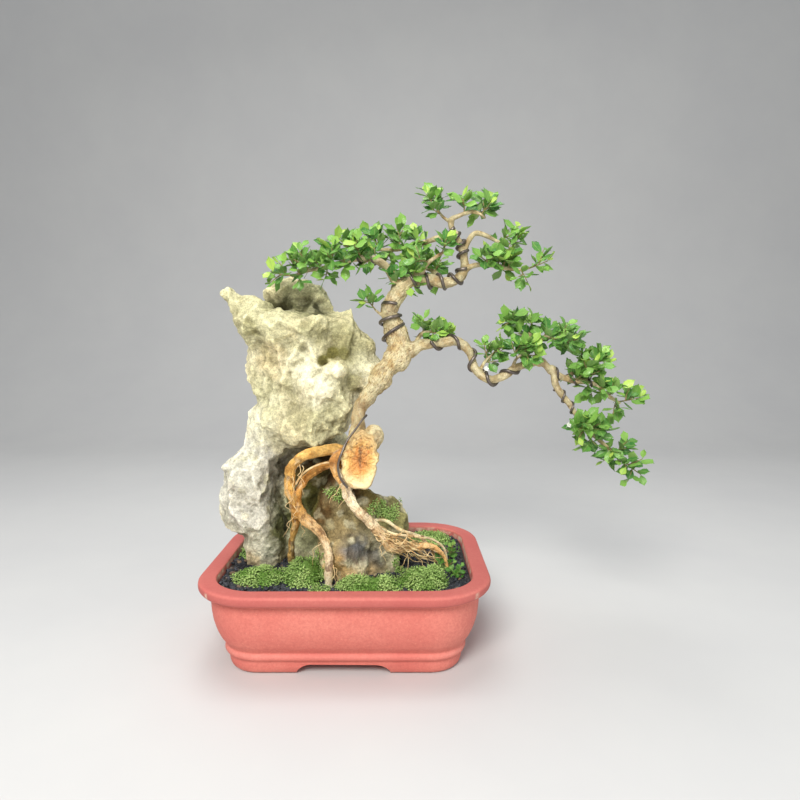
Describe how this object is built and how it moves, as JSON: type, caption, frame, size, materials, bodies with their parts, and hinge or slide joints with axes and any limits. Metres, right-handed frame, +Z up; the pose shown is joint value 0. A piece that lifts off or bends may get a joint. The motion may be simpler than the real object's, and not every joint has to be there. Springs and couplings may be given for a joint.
{
  "type": "bonsai tree in a pot",
  "caption": "Root-over-rock bonsai with a wired cascading branch and small leaf pads, growing over pale porous rock in an oval-cornered clay pot with soil and moss.",
  "frame": {"origin": "on the surface the pot stands on, under the middle of the whole object's box", "axes": "+Z up; +X to the right as seen from the front, the way the cascade reaches; +Y away from the viewer. Y is the object's shortest side, the pot's width."},
  "size_m": [0.41, 0.21, 0.4319],
  "materials": {
    "clay": "unglazed terracotta, matte, slightly dusty",
    "mesh_plastic": "moulded plastic mesh",
    "wire_metal": "anodised, satin brown-black",
    "grit": "loose fine gravel",
    "soil": "loose black granular soil",
    "stone": "weathered porous limestone with tan and moss stains",
    "bark": "pale corky bark, orange-tan roots, one sawn face",
    "moss": "short living moss, matte",
    "leaf": "small waxy green leaves, young ones yellow-green"
  },
  "bodies": {
    "root": {"drain_mesh_left": "mesh_plastic", "drain_mesh_right": "mesh_plastic", "drain_staple_left": "wire_metal", "drain_staple_right": "wire_metal", "drainage_gravel": "grit", "moss_back": "moss", "moss_centre": "moss", "moss_front_left": "moss", "moss_front_right": "moss", "moss_left": "moss", "moss_right": "moss", "moss_right_back": "moss", "pot": "clay", "rock": "stone", "shoot_apex_left": "leaf", "shoot_apex_middle": "leaf", "shoot_apex_right": "leaf", "shoot_back_tip": "leaf", "shoot_base_sprig": "leaf", "shoot_bend_sprig": "leaf", "shoot_cascade_tip": "leaf", "shoot_centre_front": "leaf", "shoot_centre_tip": "leaf", "shoot_fork_tip": "leaf", "shoot_fork_upper": "leaf", "shoot_left_high_middle": "leaf", "shoot_left_high_outer": "leaf", "shoot_left_high_tip": "leaf", "shoot_left_low_inner": "leaf", "shoot_left_low_middle": "leaf", "shoot_left_low_outer": "leaf", "shoot_left_low_tip": "leaf", "shoot_middle_sprig": "leaf", "shoot_right_high": "leaf", "shoot_right_low_front": "leaf", "shoot_right_low_tip": "leaf", "shoot_right_low_top": "leaf", "shoot_shoulder_front": "leaf", "shoot_shoulder_tip": "leaf", "shoot_trunk_sprig": "leaf", "shoot_upper_right": "leaf", "shoot_upper_tip": "leaf", "soil": "soil", "tree": "bark", "weed_front": "leaf", "weed_right": "leaf", "wire_anchor": "wire_metal", "wire_apex": "wire_metal", "wire_cascade": "wire_metal", "wire_cascade_end": "wire_metal", "wire_crown": "wire_metal", "wire_fork": "wire_metal", "wire_left_branch": "wire_metal", "wire_trunk": "wire_metal"}
  },
  "joints": []
}
